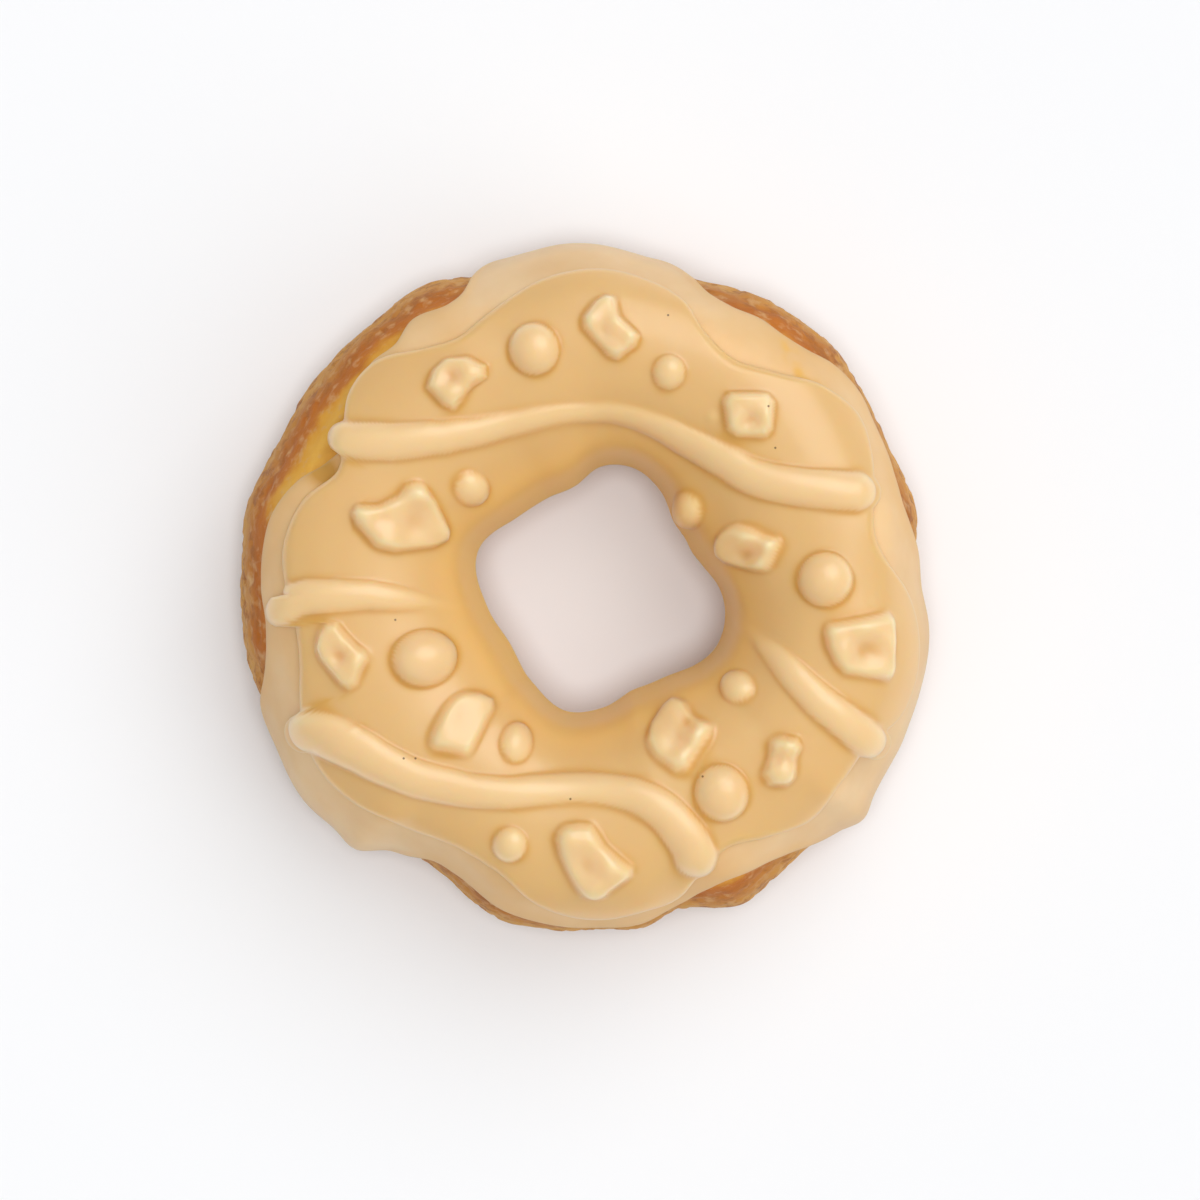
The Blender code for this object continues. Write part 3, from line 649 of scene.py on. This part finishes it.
def middle_line(route):
    """A wave's middle line without the round tips, which reach half a width on."""
    path = smooth_path(route, 120)
    from_start = np.linalg.norm(path[:, :2] - path[0, :2], axis=1)
    from_end = np.linalg.norm(path[:, :2] - path[-1, :2], axis=1)
    return path[(from_start >= path[0, 2]) & (from_end >= path[-1, 2])]


# Heights count for less than widths where a lump on a slope is measured, so that it keeps its
# outline in plan.
STEEPNESS = np.array([1.0, 1.0, 0.5])


def wave_relief(route, points, out):
    """Height of one wave: a dome across its middle line, as high as three quarters of its half
    width. Past each end of the line the dome closes in a half circle."""
    path = middle_line(route)
    feet = np.array([foot_under((x, y), WAVE_RISE * half, points, out) for x, y, half in path])
    feet = soften(feet, 4, wrap=False)
    reach = np.full(points.shape[:2], 9.0)
    size = np.full(points.shape[:2], 1.0)
    for start, end, wide, next_wide in zip(feet, feet[1:], path[:, 2], path[1:, 2]):
        step = end - start
        share = np.clip(((points - start) * STEEPNESS) @ (step * STEEPNESS)
                        / np.sum((step * STEEPNESS) ** 2), 0, 1)
        near = np.linalg.norm((points - start - share[..., None] * step) * STEEPNESS, axis=-1)
        half = wide + share * (next_wide - wide)
        closer = near / half < reach
        reach = np.where(closer, near / half, reach)
        size = np.where(closer, half, size)
    return blur(WAVE_RISE * size * dome(reach), 2)


def tip_reach(bearing, x, y, half):
    """How far out the round tip of a wave reaches along each bearing: the far side of a circle,
    or 0 where the bearing misses it."""
    along = x * np.cos(bearing) + y * np.sin(bearing)
    across = x * np.sin(bearing) - y * np.cos(bearing)
    inside = (np.abs(across) < half) & (along > 0)
    return np.where(inside, along + np.sqrt(np.maximum(half ** 2 - across ** 2, 0)), 0)


def pearl_relief(x, y, half_width, half_depth, points, out):
    """Height of one pearl: a dome as high as nine tenths of its radius."""
    mean = (half_width + half_depth) / 2
    foot = foot_under((x, y), mean, points, out)
    reach = np.linalg.norm((points - foot) * STEEPNESS / (half_width, half_depth, mean), axis=-1)
    return blur(PEARL_RISE * mean * dome(reach), 1)


def chunk_relief(outline, bumps, points, out):
    """Height of one chunk: an S-curve step inside its outline, with hollows and humps on top that
    are bell curves. Places are read in plan with the coat lifted as far as the chunk leans."""
    x, y = np.moveaxis((points + out * CHUNK_HEIGHT * CHUNK_LEAN)[..., :2], -1, 0)
    into = inside_outline(x, y, outline)
    top = np.full(x.shape, CHUNK_HEIGHT)
    for bump_x, bump_y, radius, height in bumps:
        top += height * np.exp(-((x - bump_x) ** 2 + (y - bump_y) ** 2) / radius ** 2)
    return blur(top * step_up(into, -CHUNK_WALL, CHUNK_WALL), 3)


def dots(tree, place, spots, radius):
    """1 within this radius of any of the (x, y) spots, at any height, and 0 from twice it on."""
    flat = add(tree, "ShaderNodeVectorMath", {0: place, 1: (1, 1, 0)}, operation="MULTIPLY")
    total = 0.0
    for x, y in spots:
        apart = add(tree, "ShaderNodeVectorMath", {0: flat.outputs["Vector"], 1: (x * MM, y * MM, 0)},
                    operation="DISTANCE")
        near = add(tree, "ShaderNodeMapRange", {"Value": apart.outputs["Value"],
                                                "From Min": 2 * radius * MM, "From Max": radius * MM})
        total = add(tree, "ShaderNodeMath", {0: near.outputs["Result"], 1: total},
                    operation="MAXIMUM").outputs[0]
    return total


def set_icing():
    """Caramel fondant icing, set satin and a little translucent: creamy where it is thick over
    the relief and, as a painted highlight, on its ridges; tan where it lies thin. The creases
    are darker amber, partly the deeper colour of pooled icing and partly painted shade, and the
    hem has painted shade of the same amber. Down the hole it is golden, the thinner icing there
    with painted light bounced round the hole. It shines softly except down the hole and on the
    hem, and a few specks of burnt sugar are in it."""
    made, tree, shader, place = new_material("caramel_fondant_icing")
    thickness_and_highlight = add(tree, "ShaderNodeAttribute", attribute_name="thickness")
    crease_and_hem_shade = add(tree, "ShaderNodeAttribute", attribute_name="crease_and_hem_shade")
    # Thickness also carries a painted highlight on the ridges; the ramp's top stop is reached only there
    body = ramp(tree, thickness_and_highlight.outputs["Fac"],
                [(0.0, "#e2b470"), (0.4, "#eec689"), (0.7, "#f8d29c"), (1.0, "#fee0b2")])
    patches = add(tree, "ShaderNodeTexNoise", {"Vector": place, "Scale": 1 / (14 * MM),
                                               "Detail": 2.0})
    mild = add(tree, "ShaderNodeMapRange", {"Value": patches.outputs["Fac"], "To Max": 0.3})
    clouded = add(tree, "ShaderNodeMix", {"Factor": mild.outputs["Result"], "A": body,
                                          "B": linear("#e8b67a")}, data_type="RGBA")
    # Painted shade: creases and the hem go darker amber, in the creases partly the colour of pooled
    # icing
    creased = add(tree, "ShaderNodeMix", {"Factor": crease_and_hem_shade.outputs["Fac"],
                                          "A": clouded.outputs["Result"], "B": linear("#dea440")},
                  data_type="RGBA")
    # Painted light: golden tone of light bounced round the hole, over the thinner icing there
    hole = add(tree, "ShaderNodeAttribute", attribute_name="hole_slope_tint_and_light")
    in_hole = add(tree, "ShaderNodeMix", {"Factor": hole.outputs["Fac"],
                                          "A": creased.outputs["Result"], "B": linear("#f2be60")},
                  data_type="RGBA")
    burnt = dots(tree, place, SPECKS, SPECK_RADIUS)
    specked = add(tree, "ShaderNodeMix", {"Factor": burnt, "A": in_hole.outputs["Result"],
                                          "B": linear("#7a5026")}, data_type="RGBA")
    tree.links.new(specked.outputs["Result"], shader.inputs["Base Color"])
    grain = add(tree, "ShaderNodeTexNoise", {"Vector": place, "Scale": 1 / (2.2 * MM),
                                             "Detail": 3.0})
    bump = add(tree, "ShaderNodeBump", {"Height": grain.outputs["Fac"], "Distance": 0.1 * MM,
                                        "Strength": 0.25})
    tree.links.new(bump.outputs["Normal"], shader.inputs["Normal"])
    gloss = add(tree, "ShaderNodeAttribute", attribute_name="gloss").outputs["Fac"]
    tree.links.new(gloss, shader.inputs["Specular IOR Level"])
    film = add(tree, "ShaderNodeMath", {0: gloss, 1: 0.45}, operation="MULTIPLY")
    tree.links.new(film.outputs[0], shader.inputs["Coat Weight"])
    shader.inputs["Roughness"].default_value = 0.38
    shader.inputs["Coat Roughness"].default_value = 0.3
    shader.inputs["Subsurface Weight"].default_value = 0.6
    shader.inputs["Subsurface Radius"].default_value = (1.0, 0.6, 0.28)
    shader.inputs["Subsurface Scale"].default_value = 4 * MM
    return made


def pushed_edge(bearing):
    """Radius of the topper's edge, pushed out where a wave's tip reaches over it."""
    edge = around(TOPPER_EDGE, bearing)
    for route in WAVES.values():
        path = middle_line(route)
        for x, y, half in (path[0], path[-1]):
            edge = fuse(edge, tip_reach(bearing, x, y, half - TIP_UNDERCUT), HEM_FILL)
    return edge


def icing_relief(coat, out):
    """Height of all that the topper covers, each piece fused into the ones before it."""
    relief = np.zeros(coat.shape[:2])
    for route in WAVES.values():
        relief = fuse(relief, wave_relief(route, coat, out), FOOT_FILL)
    for pearl in PEARLS:
        relief = fuse(relief, pearl_relief(*pearl, coat, out), FOOT_FILL)
    for outline, bumps in CHUNKS:
        relief = fuse(relief, chunk_relief(outline, bumps, coat, out), FOOT_FILL)
    return relief


def topper_coat():
    """Outer face from the wavy edge over the crown into the hole, over a hidden face just inside
    the glaze: the dough's surface lifted by the seat, by a thickness that is rounded at both hems
    and thins towards the hole, by slow waves and by the relief. Creases and ridges are where the
    relief lies below or above a blurred copy of itself. Creases and the hem are marked for painted
    shade, ridges for a painted highlight, and the slope down the hole for painted bounced light."""
    bearing = np.arange(TOPPER_BEARINGS) * 2 * np.pi / TOPPER_BEARINGS
    outside = turn_at_radius(bearing, pushed_edge(bearing), EDGE_HEIGHT)
    inside = turn_at_height(np.full(TOPPER_BEARINGS, TOPPER_HOLE_HEM), CROWN, NARROWEST)
    turn = rows_between(outside, inside, outer_rows=62, inner_rows=60)
    points, out = skin(*np.broadcast_arrays(bearing[:, None], turn))
    from_edge = run_along(points)
    to_hole_hem = from_edge[:, -1:] - from_edge
    thickness = TOPPER_THICKNESS * (0.25 + 0.75 * step_up(to_hole_hem, *THICKENING))
    thickness *= rounded_hem(from_edge, TOPPER_HEM_ROUND) * rounded_hem(to_hole_hem, HOLE_HEM_ROUND)
    waves = 0.18 * cloud(points, 10.0, 31) * step_up(from_edge, 0, 2)
    coat = points + out * (TOPPER_SEAT + thickness + waves)[..., None]
    relief = icing_relief(coat, out)

    blurred = blur(relief, 14)
    crease = step_up(blurred - relief, 0.02, 0.35)
    # Ridges above the blurred relief get a painted highlight through the thickness colour
    ridge_highlight = step_up(relief - blurred, 0.1, 0.55)
    sheltered = step_up(turn, *TOPPER_INTO_HOLE)
    # thickness: the relief's depth, plus a painted highlight on the ridges
    marks = {"thickness": 0.72 * step_up(relief, 0.1, 1.6) + 0.28 * ridge_highlight,
             # Painted shade in the creases, partly pooled icing, and along the hem
             "crease_and_hem_shade": 0.65 * crease + 0.3 * np.exp(-from_edge / 0.6),
             # Golden down the hole: thinner icing and painted bounced light, less on the relief
             "hole_slope_tint_and_light": 0.9 * sheltered * (1 - 0.7 * step_up(relief, 0.3, 1.5)),
             "gloss": 1 - 0.9 * sheltered - 0.9 * np.exp(-(from_edge / 0.5) ** 2)}
    return closed_coat("icing", coat + out * relief[..., None],
                       points + out * (TOPPER_SEAT - TOPPER_BACK), marks)


icing = topper_coat()
icing.data.materials.append(set_icing())
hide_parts("topper")
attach(icing, "root")

# Studio: a pale matt paper floor and a long lens straight above. A large soft light stands at the
# upper right and makes the one broad sheen on the icing. A second from the lower right, a third
# overhead and the white surround only fill the shadows, and don't show in reflections.

# Size of a pixel of the view at the doughnut's widest line, and how far the middle of the view
# lies from the doughnut's
PIXEL = 0.130 * MM
VIEW_MIDDLE = (14.5 * PIXEL, -13.5 * PIXEL)
VIEW_WIDTH = 1200 * PIXEL
WIDEST_HEIGHT = 11 * MM
CAMERA_HEIGHT = 1200 * MM
SENSOR_WIDTH = 36
FLOOR_WIDTH = 4000 * MM


def sun(name, toward, strength, angle):
    """Parallel light that comes from this direction, with its soft edge in degrees."""
    data = bpy.data.lights.new(name, "SUN")
    data.energy = strength
    data.angle = np.radians(angle)
    made = bpy.data.objects.new(name, data)
    made.rotation_euler = (-Vector(toward)).to_track_quat("-Z", "Y").to_euler()
    bpy.context.scene.collection.objects.link(made)
    return made


bpy.ops.mesh.primitive_plane_add(size=FLOOR_WIDTH)
floor = bpy.context.object
floor.name = "floor"
paper, _, paper_shader, _ = new_material("white_paper_floor")
paper_shader.inputs["Base Color"].default_value = linear("#f3f3f4")
paper_shader.inputs["Roughness"].default_value = 0.9
floor.data.materials.append(paper)

sun("key", (0.38, 0.48, 0.79), 1.05, 50)
sun("fill", (0.62, -0.36, 0.70), 0.5, 44).visible_glossy = False
sun("overhead", (0.0, -0.05, 1.0), 1.40, 24).visible_glossy = False

world = bpy.data.worlds.new("white_surround")
world.use_nodes = True
surround = world.node_tree.nodes["Background"]
surround.inputs["Color"].default_value = (0.94, 0.97, 1, 1)
surround.inputs["Strength"].default_value = 0.29
world.cycles_visibility.glossy = False
bpy.context.scene.world = world

camera_data = bpy.data.cameras.new("camera")
camera_data.sensor_width = SENSOR_WIDTH
camera_data.lens = SENSOR_WIDTH * (CAMERA_HEIGHT - WIDEST_HEIGHT) / VIEW_WIDTH
camera = bpy.data.objects.new("camera", camera_data)
camera.location = (*VIEW_MIDDLE, CAMERA_HEIGHT)
bpy.context.scene.collection.objects.link(camera)
bpy.context.scene.camera = camera
bpy.context.scene.view_settings.view_transform = "Standard"

bpy.context.view_layer.update()
